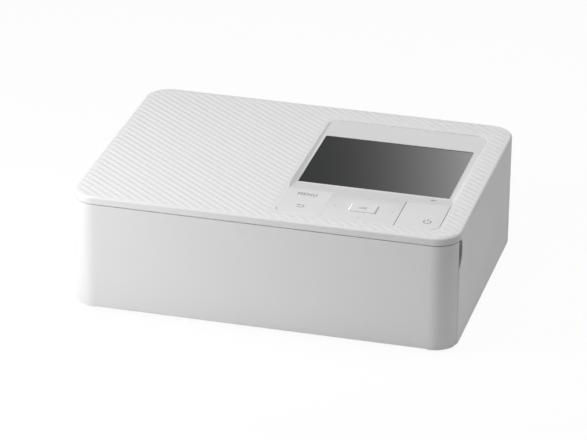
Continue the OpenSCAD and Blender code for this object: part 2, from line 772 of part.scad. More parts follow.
module chassis_pan() color("silver") difference() {
  box(-left_plate, right_plate, chassis_front, chassis_back, pan_z, mech_z);
  for (x = chassis_screw_x, y = chassis_screw_y) post([x, y], 1.3, pan_z - 1, mech_z + 1);
  for (k = [0:2]) box(-36 + 28 * k, -20 + 28 * k, platen_y - 14, platen_y + 26, pan_z - 1, mech_z + 1);
}

// Side plate in the Y-Z plane: towers in front and behind, low between them
module side_sheet(x0, top) {
  box(x0, x0 + sheet, chassis_front, chassis_back, mech_z, top);
}

module left_side_plate() color("silver") {
  difference() {
    union() {
      side_sheet(-left_plate, arm_z + 0.6);
      // studs for the idler, the reduction gear and the cam gear
      rod(idler_p, 1.5, plane_a - gear_w - 0.2, -left_plate + 0.2);
      rod(small_p, 1.5, bracket_x + 0.4, -left_plate + 0.2);
      for (p = bracket_posts) rod(p, 2, bracket_x, -left_plate + 0.2);
    }
    rod(platen_p, shaft_r + run_fit, -left_plate - 1, plate_in + 1);
    rod(capstan_p, shaft_r + run_fit, -left_plate - 1, plate_in + 1);
    rod(pinch_p, 1.5 + run_fit, -left_plate - 1, plate_in + 1);
    rod(pickup_p, shaft_r + run_fit, -left_plate - 1, plate_in + 1);
    rod(takeup_p, 3.4 + run_fit, -left_plate - 1, plate_in + 1);
    rod(supply_p, 3.4 + run_fit, -left_plate - 1, plate_in + 1);
    rod(cam_p, 2 + run_fit, -left_plate - 1, plate_in + 1);
    rod(head_pivot, pivot_r, -left_plate - 1, plate_in + 1);
  }
}

module right_side_plate() color("silver") difference() {
  side_sheet(right_in, arm_z + 0.6);
  box(right_in - 1, right_plate + 1, takeup_p[0] - tube_r - 1, supply_p[0] + tube_r + 1, path_z + 0.5, case_h);
  rod(platen_p, shaft_r + run_fit, right_in - 1, right_plate + 1);
  rod(capstan_p, shaft_r + run_fit, right_in - 1, right_plate + 1);
  rod(pinch_p, 1.5 + run_fit, right_in - 1, right_plate + 1);
  rod(pickup_p, shaft_r + run_fit, right_in - 1, right_plate + 1);
  rod(head_pivot, pivot_r, right_in - 1, right_plate + 1);
}

module drive_bracket() color("silver") difference() {
  box(motor_face, bracket_x, platen_y - 38, chassis_back - 4, mech_z, path_z + 25);
  box(bracket_x - 3, bracket_x + 3, platen_y - 39, platen_y - 6, mech_z - 1, path_z + 11);
  rod(small_p, 2, bracket_x - 3, bracket_x + 1);
  rod(feed_p, 2.5, bracket_x - 3, bracket_x + 1);
  rod(cam_motor_p, 1.6, bracket_x - 3, bracket_x + 1);
}

module head_pivot_shaft() color("silver") rod(head_pivot, pivot_r, -left_plate, right_plate);

module lower_paper_guide() color("lightgray") difference() {
  box(plate_in, right_in, capstan_p[0] - 9, half_d - 6.5, path_z - 1.6, path_z - 0.7);
  wide_box(roller_l + 3, platen_y - platen_r - 0.4, platen_y + platen_r + 0.4, 0, case_h);
  wide_box(roller_l + 3, capstan_p[0] - capstan_r - 0.4, capstan_p[0] + capstan_r + 0.4, 0, case_h);
  box(plate_in - 1, plate_in + 12, platen_y - 4, platen_y + 4, 0, case_h);
  box(right_in - 12, right_in + 1, platen_y - 4, platen_y + 4, 0, case_h);
  box(plate_in - 1, plate_in + 12, capstan_p[0] - 4, capstan_p[0] + 4, 0, case_h);
  box(right_in - 12, right_in + 1, capstan_p[0] - 4, capstan_p[0] + 4, 0, case_h);
}

// ---- rollers ----

module platen_shaft() color("silver") rod(platen_p, shaft_r, plane_a - gear_w, right_plate + 1.5);

module platen_rubber() color("black") difference() {
  rod(platen_p, platen_r, -roller_l / 2, roller_l / 2);
  rod(platen_p, shaft_r, -roller_l / 2 - 1, roller_l / 2 + 1);
}

module capstan_roller() color("silver") {
  rod(capstan_p, capstan_r, -roller_l / 2, roller_l / 2);
  rod(capstan_p, shaft_r, plane_a - gear_w, right_plate + 1.5);
}

module pinch_roller() color("dimgray") {
  rod(pinch_p, pinch_r, -roller_l / 2, roller_l / 2);
  rod(pinch_p, 1.5, -left_plate - 1, right_plate + 1.5);
}

module pickup_shaft() color("silver") rod(pickup_p, shaft_r, plane_a - gear_w, right_plate + 1.5);

module pickup_tyres() color("black") for (x = [-22, 8]) difference() {
  rod(pickup_p, pickup_r, x, x + 14);
  rod(pickup_p, shaft_r, x - 1, x + 15);
}

// ---- drive ----

module feed_motor() color("silver") difference() {
  union() {
    rod(feed_p, 12.5, motor_face - feed_motor_l, motor_face);
    box(motor_face - 1, motor_face, feed_p[0] - 14, feed_p[0] + 13, feed_p[1] - 5, feed_p[1] + 5);
  }
  rod(feed_p, 1 + run_fit, motor_face - motor_bore, bracket_x + 1);
}

module feed_pinion() color("goldenrod") {
  gear(pinion_n, feed_p, feed_turn, plane_b - gear_w, gear_w, 0);
  rod(feed_p, 1, motor_face - motor_bore + 1, plane_b);
}

module reduction_gear() color("ivory") difference() {
  union() {
    gear(small_n, small_p, small_turn, plane_a - gear_w - 0.5, gear_w + 0.5, 0);
    gear(large_n, small_p, 0, plane_b - gear_w, gear_w, 0);
  }
  rod(small_p, 1.5 + run_fit, plane_b - gear_w - 1, plane_a + 1);
}

module platen_gear() color("ivory") gear(platen_n, platen_p, 0, plane_a - gear_w, gear_w, shaft_r);

module idler_gear() color("ivory") gear(idler_n, idler_p, idler_turn, plane_a - gear_w, gear_w, 1.5 + run_fit);

module capstan_gear() color("ivory")
  gear(capstan_n, capstan_p, capstan_turn, plane_a - gear_w, gear_w, shaft_r);

module pickup_gear() color("ivory") gear(pickup_n, pickup_p, pickup_turn, plane_a - gear_w, gear_w, shaft_r);

// Hub that turns in the left side plate and drives a spool by its square end
module spool_hub(p, start) {
  rod(p, 3.4, start, plate_in);
  rod(p, 2.6, plate_in - e, -cassette_left - 0.35);
  translate([-cassette_left - 0.4, p[0] - 1.4, p[1] - 1.4]) cube([4.2, 2.8, 2.8]);
}

module takeup_drive() color("ivory") {
  gear(takeup_n, takeup_p, takeup_turn, plane_a - gear_w, gear_w, 0);
  spool_hub(takeup_p, plane_a - e);
}

module supply_drive() color("ivory") {
  rod(supply_p, 4.4, -left_plate - 1.4, -left_plate - 0.2);
  spool_hub(supply_p, -left_plate - 0.3);
}

module cam_gear() color("ivory") {
  gear(cam_n, cam_p, 0, plane_a - gear_w, gear_w, 0);
  rod(cam_p, 2, plane_a - e, plate_in + 0.25);
  rod(cam_p + [0, cam_throw], cam_r, plate_in + 0.2, plate_in + 1.5);
}

module cam_motor() color("silver") difference() {
  rod(cam_motor_p, 4.8, motor_face - cam_motor_l, motor_face);
  rod(cam_motor_p, 0.8 + run_fit, motor_face - motor_bore, bracket_x + 1);
}

module cam_pinion() color("goldenrod") {
  gear(pinion_n, cam_motor_p, cam_motor_turn, plane_a - gear_w, gear_w, 0);
  rod(cam_motor_p, 0.8, motor_face - motor_bore + 1, plane_a - gear_w + e);
}

// ---- print head ----

module head_arm() color("silver") {
  difference() {
    box(arm_left, arm_right, platen_y - 9, head_pivot[0] + 3, arm_z, arm_z + arm_t);
    for (k = [0:3]) translate([ribbon_w * (0.26 * k - 0.48), 0, 0])
      box(0, ribbon_w * 0.18, head_pivot[0] - 28, head_pivot[0] - 8, arm_z - 1, arm_z + 3);
  }
  for (x = [arm_left, arm_right - sheet]) difference() {
    union() {
      box(x, x + sheet, head_pivot[0] - 4, head_pivot[0] + 3, head_pivot[1], arm_z + e);
      rod(head_pivot, 4, x, x + sheet);
    }
    rod(head_pivot, pivot_r + run_fit, x - 1, x + sheet + 1);
  }
}

module heat_sink() color("gray") difference() {
  box(-roller_l / 2, roller_l / 2, platen_y - 6.5, platen_y + 7.5, head_z + 1.2, arm_z);
  for (k = [0:3]) box(-roller_l / 2 - 1, roller_l / 2 + 1, platen_y - 4.7 + 3 * k, platen_y - 3.1 + 3 * k,
    head_z + 6, arm_z - 1.5);
}

module thermal_head() color("white") {
  wide_box(ribbon_w + 2, platen_y - 5, platen_y + 6, head_z, head_z + 1.2);
}

// Torsion coils on the pivot shaft
module head_springs() color("darkgray") for (x = [-ribbon_w / 2 + 4, ribbon_w / 2 - 12], k = [0:5])
  translate([x + 1.2 * k, head_pivot[0], head_pivot[1]]) rotate([90, 0, 90])
    rotate_extrude() translate([pivot_r + 0.9, 0]) circle(0.6, $fn = 16);

// ---- ink cassette ----

module tube_shell(p) {
  difference() {
    rod(p, tube_r, -cassette_left, cassette_right);
    rod(p, tube_r - tube_t, -cassette_left + 1.5, block_right);
    rod(p, 3.6, -cassette_left - 1, 0);
  }
}

module cassette_case() color("lightslategray") difference() {
  union() {
    difference() {
      tube_shell(takeup_p);
      // mouth that the ribbon leaves by
      wide_box(ribbon_w + 6, takeup_p[0] + 2, takeup_p[0] + 9, 0, takeup_p[1] - 5.5);
    }
    difference() {
      tube_shell(supply_p);
      wide_box(ribbon_w + 6, supply_p[0] - 9, supply_p[0] - 2, 0, takeup_p[1] - 5.5);
    }
    box(-cassette_left, -cassette_left + 2, takeup_p[0] + 3, supply_p[0] - 3, path_z + 0.8, path_z + 2.4);
    difference() {
      box(block_left, cassette_right, takeup_p[0] - tube_r, supply_p[0] + 3, path_z + 0.8, path_z + 7);
      for (p = [takeup_p, supply_p]) rod(p, tube_r - tube_t, block_left - 1, block_right);
      box(block_left + 4, block_right - 3, takeup_p[0] + tube_r + 2, supply_p[0] - tube_r - 2, 0, case_h);
    }
  }
  // notch that the lever's hook runs in
  box(notch_x, notch_x + eject + 2, takeup_p[0] - tube_r - 2, takeup_p[0] - tube_r + 3, path_z, lever_z + 6);
}

module spool(p, core, wound) {
  rod(p, core, -cassette_left + 2, block_right - 0.4);
  rod(p, wound, -ribbon_w / 2, ribbon_w / 2);
}

module socket(p) {
  translate([-cassette_left - 1, p[0] - 1.8, p[1] - 1.8]) cube([8, 3.6, 3.6]);
}

module takeup_spool() color("white") difference() {
  spool(takeup_p, 4, 5);
  socket(takeup_p);
}

module supply_spool() color("goldenrod") difference() {
  spool(supply_p, 4, tube_r - 1.7);
  socket(supply_p);
}

module ribbon_film() color("darkgoldenrod")
translate([-ribbon_w / 2, 0, 0]) rotate([90, 0, 90]) linear_extrude(ribbon_w) {
  t = 0.15;
  y0 = takeup_p[0];
  y1 = supply_p[0];
  low = path_z + 0.1;
  polygon([[y0 + 5, low + 3.6], [y0 + 8, low], [y1 - 8, low], [y1 - 5, low + 3.6],
    [y1 - 5.2, low + 3.7], [y1 - 8.1, low + t], [y0 + 8.1, low + t], [y0 + 5.2, low + 3.7]]);
}

module cassette_lever() color("orange") difference() {
  union() {
    top = lever_z + lever_h;
    post(lever_p, 3, lever_z, top);
    box(notch_x + eject, lever_p[0], lever_p[1] - 2, lever_p[1] + 2, lever_z, top);
    box(notch_x + eject + 0.3, notch_x + eject + 1.7, lever_p[1], takeup_p[0] - tube_r + 2, lever_z, top);
    box(lever_p[0], lever_p[0] + 11, lever_p[1] - 2, lever_p[1] + 2, lever_z, top);
  }
  post(lever_p, lever_pin_r + run_fit, lever_z - 1, lever_z + 5);
}

upper_case();
base_case();
front_cover();
ink_door();
inner_front_panel();
ink_bay_frame();
rubber_feet();
case_screws();
control_panel();
screen_window();
lcd_module();
key_carrier();
menu_key();
arrow_key_pivot();
arrow_key();
ok_key();
power_key();
key_board();
key_switches();
flat_cables();
main_board();
board_parts();
card_socket();
usb_socket();
power_inlet();
cooling_fan();
fan_rotor();
chassis_pan();
left_side_plate();
right_side_plate();
drive_bracket();
head_pivot_shaft();
lower_paper_guide();
platen_shaft();
platen_rubber();
capstan_roller();
pinch_roller();
pickup_shaft();
pickup_tyres();
feed_motor();
feed_pinion();
reduction_gear();
platen_gear();
idler_gear();
capstan_gear();
pickup_gear();
takeup_drive();
supply_drive();
cam_gear();
cam_motor();
cam_pinion();
head_arm();
heat_sink();
thermal_head();
head_springs();
cassette_case();
takeup_spool();
supply_spool();
ribbon_film();
cassette_lever();
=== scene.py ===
# %% [markdown]
# # A compact photo printer
# A small dye-sublimation photo printer: a white moulded case with a cut-diamond relief
# on its top, a tilted screen, three flush key plates, a drop-down front cover and a
# swinging side door over the ink cassette. The construction comes from the CAD model.
# This lesson gives it its finishes and its fine surface shapes.

import json
import math

import bpy
from mathutils import Euler, Matrix, Vector


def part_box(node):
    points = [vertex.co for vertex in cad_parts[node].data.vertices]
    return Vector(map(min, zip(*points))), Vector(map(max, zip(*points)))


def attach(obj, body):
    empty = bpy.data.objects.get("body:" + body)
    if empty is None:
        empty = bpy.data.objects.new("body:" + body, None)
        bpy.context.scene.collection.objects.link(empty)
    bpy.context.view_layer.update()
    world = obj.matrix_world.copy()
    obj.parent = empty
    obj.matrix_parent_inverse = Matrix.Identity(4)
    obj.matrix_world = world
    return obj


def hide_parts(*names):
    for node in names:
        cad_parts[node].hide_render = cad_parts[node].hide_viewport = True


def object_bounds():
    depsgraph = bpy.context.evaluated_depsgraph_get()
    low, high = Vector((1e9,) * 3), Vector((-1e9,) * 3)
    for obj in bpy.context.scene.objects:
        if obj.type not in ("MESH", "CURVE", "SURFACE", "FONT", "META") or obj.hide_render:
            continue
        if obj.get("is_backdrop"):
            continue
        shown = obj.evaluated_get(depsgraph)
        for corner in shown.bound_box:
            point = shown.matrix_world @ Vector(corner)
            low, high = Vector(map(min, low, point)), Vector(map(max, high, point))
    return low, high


MM = 0.001
TINY = 1e-6

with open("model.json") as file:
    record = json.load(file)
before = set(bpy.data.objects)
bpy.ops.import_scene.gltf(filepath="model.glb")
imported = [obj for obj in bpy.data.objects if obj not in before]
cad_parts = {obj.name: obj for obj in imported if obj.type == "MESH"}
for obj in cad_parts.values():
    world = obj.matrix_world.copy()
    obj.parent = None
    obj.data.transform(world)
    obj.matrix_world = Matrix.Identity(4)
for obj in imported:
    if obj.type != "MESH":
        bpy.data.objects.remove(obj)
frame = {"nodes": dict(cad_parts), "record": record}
nodes = frame["nodes"]
bpy.ops.object.select_all(action="DESELECT")
low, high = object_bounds()
print("CAD nodes", len(nodes), "size in mm", [round(v / MM, 2) for v in high - low])

# %% [markdown]
# ## Finishes
# Nearly every part of a printer is moulded, rolled or stamped, so a finish here is one
# Principled shader with its typical numbers. A fine noise in object coordinates gives
# the grain that a mould or a rolling mill leaves, at its real size in millimetres.

# %% Helpers for finishes
def colour(code):
    """A screen colour such as '#e4e4e2' as the linear RGBA that shaders take."""
    def linear(v):
        return v / 12.92 if v <= 0.04045 else ((v + 0.055) / 1.055) ** 2.4
    return tuple(linear(int(code[i:i + 2], 16) / 255) for i in (1, 3, 5)) + (1.0,)


def add(material, kind, settings=(), links=()):
    """Add one shader node, set its properties or sockets, and link its inputs."""
    node = material.node_tree.nodes.new(kind)
    for name, value in dict(settings).items():
        if isinstance(name, int) or name in node.inputs:
            node.inputs[name].default_value = value
        else:
            setattr(node, name, value)
    for name, socket in dict(links).items():
        material.node_tree.links.new(socket, node.inputs[name])
    return node


def finish(name, code, rough, metallic=0.0, ior=1.46, grain_mm=0.0, depth_mm=0.0):
    """A plain finish: one colour, one roughness, and a grain of a real size and depth."""
    material = bpy.data.materials.new(name)
    material.use_nodes = True
    shader = material.node_tree.nodes["Principled BSDF"]
    shader.inputs["Base Color"].default_value = colour(code)
    shader.inputs["Roughness"].default_value = rough
    shader.inputs["Metallic"].default_value = metallic
    if not metallic:
        shader.inputs["IOR"].default_value = ior
    if grain_mm:
        place = add(material, "ShaderNodeTexCoord")
        noise = add(material, "ShaderNodeTexNoise",
                    {"Scale": 1 / (grain_mm * MM), "Detail": 2.0},
                    {"Vector": place.outputs["Object"]})
        bump = add(material, "ShaderNodeBump", {"Distance": depth_mm * MM, "Strength": 1.0},
                   {"Height": noise.outputs["Fac"]})
        material.node_tree.links.new(bump.outputs["Normal"], shader.inputs["Normal"])
    return material


FINISHES = {
    # Moulded ABS with a spark-eroded grain: matt, so it spreads light and hides fingerprints
    "case_plastic": finish("white_abs_fine_grain", "#e3e3e3", 0.5, ior=1.54,
                           grain_mm=0.5, depth_mm=0.004),
    # The same plastic from a smooth mould, a shade greyer: an even, softer sheen
    "panel_plastic": finish("pale_grey_abs", "#dadada", 0.45, ior=1.54),
    "key_plastic": finish("white_abs_satin", "#dfdfdf", 0.42, ior=1.54),
    # Cast acrylic, black from behind: it mirrors the room like a still pool
    "screen_plastic": finish("black_acrylic_gloss", "#101214", 0.06, ior=1.49),
    # Unpainted inner mouldings, dark so that nothing inside shines through the slots
    "inner_plastic": finish("dark_grey_abs_inner", "#2c2d2f", 0.5, ior=1.54,
                            grain_mm=0.6, depth_mm=0.006),
    # Moulded rubber: hardly any highlight
    "foot_rubber": finish("grey_foot_rubber", "#5c5d5e", 0.85, ior=1.52),
    "roller_rubber": finish("black_roller_rubber", "#202122", 0.8, ior=1.52,
                            grain_mm=0.3, depth_mm=0.01),
    # Rolled steel with a thin zinc coat: a soft metal mirror with faint waves
    "steel": finish("zinc_plated_steel", "#b9bbbc", 0.32, metallic=1.0, grain_mm=1.5, depth_mm=0.003),
    # Pressed through a die, left bare: a satin metal
    "heat_sink_aluminium": finish("extruded_aluminium", "#c3c5c7", 0.38, metallic=1.0),
    # Alumina under a glass glaze: ivory and glossy, with a high index
    "head_ceramic": finish("glazed_alumina", "#d9d2c0", 0.25, ior=1.76),
    # Acetal keeps its natural milky colour and looks waxy
    "gear_plastic": finish("natural_acetal", "#dcdad2", 0.4, ior=1.48),
    "brass": finish("turned_brass", "#c8a75a", 0.3, metallic=1.0),
    # Sockets and switches: glass-filled PBT, black and slightly rough
    "dark_plastic": finish("black_pbt", "#232425", 0.5, ior=1.57, grain_mm=0.5, depth_mm=0.005),
    # Board lacquer and cable film: glossy coats with the colour below
    "circuit_board": finish("green_solder_mask", "#1f5b3c", 0.3, ior=1.5),
    "cable_film": finish("amber_polyimide_film", "#a8742c", 0.25, ior=1.7),
    # The cassette is thin polystyrene, the ribbon a smooth film that looks nearly black
    "cassette_plastic": finish("grey_cassette_polystyrene", "#8f9092", 0.5, ior=1.59,
                               grain_mm=0.6, depth_mm=0.005),
    "ribbon": finish("dye_coated_film", "#3a2a55", 0.2, ior=1.64),
    "lever_plastic": finish("blue_grey_acetal", "#7d8894", 0.42, ior=1.48),
}
print("finishes", len(FINISHES))

# %% Put them on the CAD parts
slot_of = {part["node"]: part["material_slot"] for part in frame["record"]["subparts"]}
for name, part in nodes.items():
    part.data.materials.clear()
    part.data.materials.append(FINISHES[slot_of[name]])
print("parts painted", len(slot_of), "of", len(nodes))

# %% [markdown]
# ## Helpers for modelling
# Each shape below starts as a primitive, or as a copy of a CAD part, and is worked in
# edit mode. All their places come from the boxes of the CAD parts.

# %% Helpers for modelling
def edges(node):
    """The box of a CAD part in millimetres: x0, x1, y0, y1, z0, z1."""
    start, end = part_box(node)
    return [v / MM for pair in zip(start, end) for v in pair]


def finished(name, body, slot_name, *replaced, look=None, crease=30):
    """Name the active piece, give it its finish, and let it ride on a body."""
    piece = bpy.context.active_object
    piece.select_set(True)
    bpy.ops.object.transform_apply(location=True, rotation=True, scale=True)
    bpy.ops.object.shade_smooth_by_angle(angle=math.radians(crease))
    piece.name = name
    piece.data.name = name
    piece.data.materials.clear()
    piece.data.materials.append(look or FINISHES[slot_name])
    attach(piece, body)
    if replaced:
        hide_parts(*replaced)
    piece.select_set(False)
    print(name, "faces", len(piece.data.polygons))
    return piece


def choose(piece, test):
    """In edit mode, select the vertices that pass the test and what lies between them."""
    bpy.ops.object.mode_set(mode="OBJECT")
    mesh = piece.data
    for v in mesh.vertices:
        v.select = test(v.co)
    for item in (*mesh.edges, *mesh.polygons):
        item.select = all(mesh.vertices[i].select for i in item.vertices)
    bpy.ops.object.mode_set(mode="EDIT")


def narrow(piece, z, in_x, in_y):
    """Draw the vertices at one height in, by a distance along X and along Y."""
    choose(piece, lambda co: abs(co.z - z * MM) < TINY)
    spots = [v.co for v in piece.data.vertices if abs(v.co.z - z * MM) < TINY]
    size = [max(c[k] for c in spots) - min(c[k] for c in spots) for k in (0, 1)]
    middle = [(max(c[k] for c in spots) + min(c[k] for c in spots)) / 2 for k in (0, 1)]
    bpy.ops.transform.resize(value=(1 - 2 * in_x * MM / size[0], 1 - 2 * in_y * MM / size[1], 1),
                             center_override=(*middle, z * MM))
    bpy.ops.object.mode_set(mode="OBJECT")


def rounded_block(x0, x1, y0, y1, z0, z1, radius, steps=12):
    """A block with its four upright edges rounded. Sizes in millimetres."""
    bpy.ops.mesh.primitive_cube_add(
        size=1, location=((x0 + x1) / 2 * MM, (y0 + y1) / 2 * MM, (z0 + z1) / 2 * MM))
    block = bpy.context.active_object
    block.scale = ((x1 - x0) * MM, (y1 - y0) * MM, (z1 - z0) * MM)
    bpy.ops.object.transform_apply(location=True, rotation=False, scale=True)
    bpy.ops.object.mode_set(mode="EDIT")
    bpy.ops.mesh.select_mode(type="EDGE")
    bpy.ops.mesh.select_all(action="DESELECT")
    bpy.ops.object.mode_set(mode="OBJECT")
    corners = block.data.vertices
    for e in block.data.edges:
        e.select = abs(corners[e.vertices[0]].co.z - corners[e.vertices[1]].co.z) > TINY
    bpy.ops.object.mode_set(mode="EDIT")
    bpy.ops.mesh.bevel(offset=radius * MM, segments=steps, affect="EDGES")
    bpy.ops.mesh.select_mode(type="VERT")
    bpy.ops.object.mode_set(mode="OBJECT")
    return block


def cut(piece, other, how="DIFFERENCE"):
    """Boolean one piece with another and drop the other."""
    bpy.ops.object.select_all(action="DESELECT")
    bpy.context.view_layer.objects.active = piece
    step = piece.modifiers.new("cut", "BOOLEAN")
    step.operation = how
    step.solver = "EXACT"
    step.object = other
    bpy.ops.object.modifier_apply(modifier="cut")
    bpy.data.objects.remove(other)


def copy_of(node):
    """A copy of a CAD part as one clean mesh, active and ready to edit."""
    bpy.ops.object.select_all(action="DESELECT")
    nodes[node].select_set(True)
    bpy.context.view_layer.objects.active = nodes[node]
    bpy.ops.object.duplicate()
    piece = bpy.context.active_object
    piece.parent = None
    # The copy brings stored normals along, which would shade it by its old shape
    bpy.ops.mesh.customdata_custom_splitnormals_clear()
    bpy.ops.object.mode_set(mode="EDIT")
    bpy.ops.mesh.select_mode(type="VERT")
    bpy.ops.mesh.select_all(action="SELECT")
    bpy.ops.mesh.remove_doubles(threshold=TINY)
    bpy.ops.mesh.dissolve_limited(angle_limit=math.radians(0.5))
    bpy.ops.object.mode_set(mode="OBJECT")
    return piece


CASE = edges("upper_case")
TOP = CASE[5]
PANEL = edges("control_panel")
print("case", [round(v, 2) for v in CASE], "panel", [round(v, 2) for v in PANEL])

# %% [markdown]
# ## The cut-diamond relief on the top
# The top of the case carries two families of low ridges that cross as diamonds, cut into
# the mould. Each diamond is 5.17 mm wide and 4.27 mm deep, and one family stands a little
# prouder. Raising every second row of a grid one way, and every second column the other
# way, gives exactly this surface, and turning and stretching the grid gives the lattice.
# It could be a bump map, but true facets catch the light like the real top does, from
# every side.

# %% Lattice of ridges
# Half the width and depth of a diamond, and the heights of the two families of ridges
CELL_X, CELL_Y = 2.585, 2.137
RIDGES = (0.20, 0.14)
# The bed of the relief lies this far above the solid's top, and the relief is this thick
BED, THICK = 0.02, 0.4
# The relief keeps these distances from the rim and from the panel, and fades over the last bit
MARGIN, HOLE, FADE = 1.02, 1.1, 1.1
CORNER, HOLE_CORNER = 12.0, 5.2
panel_front = edges("menu_key")[2]
bed_z = (TOP + BED) * MM
# Enough rows to cover the top once the grid is turned by 45 degrees
count = 168
step = math.sqrt(0.5) * MM
bpy.ops.mesh.primitive_grid_add(x_subdivisions=count, y_subdivisions=count, size=count * step,
                                location=(0, 0, bed_z))
relief = bpy.context.active_object
bpy.ops.object.transform_apply(location=True, rotation=False, scale=False)
for axis, rise in enumerate(RIDGES):
    choose(relief, lambda co: round(co[axis] / step) % 2 == 0)
    bpy.ops.transform.translate(value=(0, 0, rise * MM))
bpy.ops.mesh.select_all(action="SELECT")
bpy.ops.transform.rotate(value=math.radians(-45), orient_axis="Z", center_override=(0, 0, 0))
bpy.ops.transform.resize(value=(CELL_X, CELL_Y, 1), center_override=(0, 0, 0))
print("facets", count * count)

# %% Let it die out at its borders
def at_border(co):
    """True near the edge of the top or near the panel."""
    x, y = co.x / MM, co.y / MM
    ring = MARGIN + FADE
    by_panel = HOLE + FADE
    return (abs(x) > CASE[1] - ring or abs(y) > CASE[3] - ring
            or (PANEL[0] - by_panel < x < PANEL[1] + by_panel
                and panel_front - by_panel < y < PANEL[3] + by_panel))


choose(relief, at_border)
bpy.ops.transform.resize(value=(1, 1, 0), center_override=(0, 0, bed_z))
bpy.ops.mesh.select_all(action="SELECT")
bpy.ops.mesh.extrude_region_move(TRANSFORM_OT_translate={"value": (0, 0, -THICK * MM)})
bpy.ops.mesh.select_all(action="SELECT")
bpy.ops.mesh.normals_make_consistent(inside=False)
bpy.ops.object.mode_set(mode="OBJECT")

# %% Trim it to the top
field = rounded_block(CASE[0] + MARGIN, CASE[1] - MARGIN, CASE[2] + MARGIN, CASE[3] - MARGIN,
                      TOP - 1, TOP + 1, CORNER - MARGIN)
hole = rounded_block(PANEL[0] - HOLE, PANEL[1] + HOLE, panel_front - HOLE, PANEL[3] + HOLE,
                     TOP - 2, TOP + 2, HOLE_CORNER)
cut(field, hole)
cut(relief, field, "INTERSECT")
finished("top_relief", "root", "case_plastic", crease=0.1)

# %% [markdown]
# ## The recess round the screen
# The panel lies about a millimetre below the top and is tilted towards the user. The side
# of the recess is no plain step: it slopes, so that it wipes clean and leaves the mould
# easily. One tapered block is cut out of a copy of the case, and out of a frame that
# carries the slope on down to the panel.

# %% Sloping side of the recess
# The taper's depth, its run per millimetre of depth, and its lead over the recess at the top
DEEP, RUN, LEAD = 1.9, 1.65, 1.0
# A small step along the front and the back, and the play of a piece in its place
STEP, PLAY = 0.2, 0.02
# The recess is this much wider than the panel, and starts this far behind the panel's front
SEAM, FRONT_IN = 0.1, 1.4
TAPER_CORNER, WALL_CORNER = 5.5, 4.5
recess = [PANEL[0] - SEAM, PANEL[1] + SEAM, PANEL[2] + FRONT_IN, PANEL[3] + SEAM]


def taper():
    """The tapered block: its outline leads the recess at the top and draws in below."""
    block = rounded_block(recess[0] - LEAD, recess[1] + LEAD, recess[2] - STEP, recess[3] + STEP,
                          TOP - DEEP, TOP, TAPER_CORNER)
    narrow(block, TOP - DEEP, DEEP * RUN, 3 * STEP)
    return block


case = copy_of("upper_case")
cut(case, taper())
case = finished("upper_case_shell", "root", "case_plastic", "upper_case")
wall = rounded_block(recess[0] + PLAY, recess[1] - PLAY, recess[2] + PLAY, recess[3] - PLAY,
                     TOP - DEEP, TOP - PLAY, WALL_CORNER)
cut(wall, taper())
finished("recess_slope", "root", "case_plastic")

# %% [markdown]
# ## The front of the panel
# The panel climbs from the window to the level of the keys. A long, gentle climb has no
# shadow line, so finger and eye run over it freely. In a copy of the panel, the line where
# the climb starts is drawn back along the panel to the lip of the window.

# %% Gentle climb in front of the window
WINDOW = edges("screen_window")
# Width and height of the lip round the window, and thickness of the window's sheet
LIP, LIP_H = 0.6, 0.24
GLASS_T = 0.88
# The climb starts this far in front of the lip. The panel's surface is within this depth
FOOT_GAP, SURFACE = 0.3, 2
TILT = math.atan2(WINDOW[5] - WINDOW[4] - GLASS_T, WINDOW[3] - WINDOW[2])
panel = copy_of("control_panel")
surface = [v.co.copy() for v in panel.data.vertices
           if v.co.z > (TOP - SURFACE) * MM and v.co.y < WINDOW[2] * MM]
climb_top = max(co.z for co in surface) / MM
panel_front_edge = max(co.y for co in surface if co.z > climb_top * MM - TINY) / MM
climb_y = max(co.y for co in surface if co.y < (WINDOW[2] - LIP) * MM)
climb_z = max(co.z for co in surface if abs(co.y - climb_y) < TINY)
back = (WINDOW[2] - LIP - FOOT_GAP) * MM - climb_y
choose(panel, lambda co: abs(co.y - climb_y) < TINY and abs(co.z - climb_z) < TINY)
bpy.ops.transform.translate(value=(0, back, back * math.tan(TILT)))
bpy.ops.object.mode_set(mode="OBJECT")
foot = (climb_y + back) / MM
CLIMB = (climb_top - (climb_z + back * math.tan(TILT)) / MM) / (foot - panel_front_edge)
finished("control_panel_plate", "root", "panel_plastic", "control_panel", crease=0.5)
print("climb from", round(foot, 2), "to", round(panel_front_edge, 2), "slope", round(CLIMB, 3))

# %% [markdown]
# ## The screen window
# The window is one gloss black sheet over the display, set in the tilted panel. The panel
# rises to it in a narrow lip, whose left and front sides catch the light. The lip is a
# rounded block that narrows upwards, with the window's own place cut out of it.

# %% Lip of the window
# The lip's foot lies this far under the glass, and these are the radii of its corners
SUNK, LIP_CORNER, GLASS_CORNER = 0.3, 0.8, 0.5
glass_y = (WINDOW[2] + WINDOW[3]) / 2
glass_z = WINDOW[5] - math.tan(TILT) * (WINDOW[3] - glass_y)
lip = rounded_block(WINDOW[0] - LIP, WINDOW[1] + LIP, WINDOW[2] - LIP, WINDOW[3] + LIP,
                    glass_z - SUNK, glass_z + LIP_H, LIP_CORNER, 6)
narrow(lip, glass_z + LIP_H, LIP, LIP)
place = rounded_block(WINDOW[0] - PLAY, WINDOW[1] + PLAY, WINDOW[2] - PLAY, WINDOW[3] + PLAY,
                      glass_z - 1, glass_z + 1, GLASS_CORNER, 6)
cut(lip, place)
bpy.ops.object.mode_set(mode="EDIT")
bpy.ops.mesh.select_all(action="SELECT")
bpy.ops.transform.rotate(value=-TILT, orient_axis="X", center_override=(0, glass_y * MM, glass_z * MM))
bpy.ops.object.mode_set(mode="OBJECT")
finished("window_lip", "root", "panel_plastic")
print("tilt", round(math.degrees(TILT), 2), "middle of the glass", round(glass_z, 2))

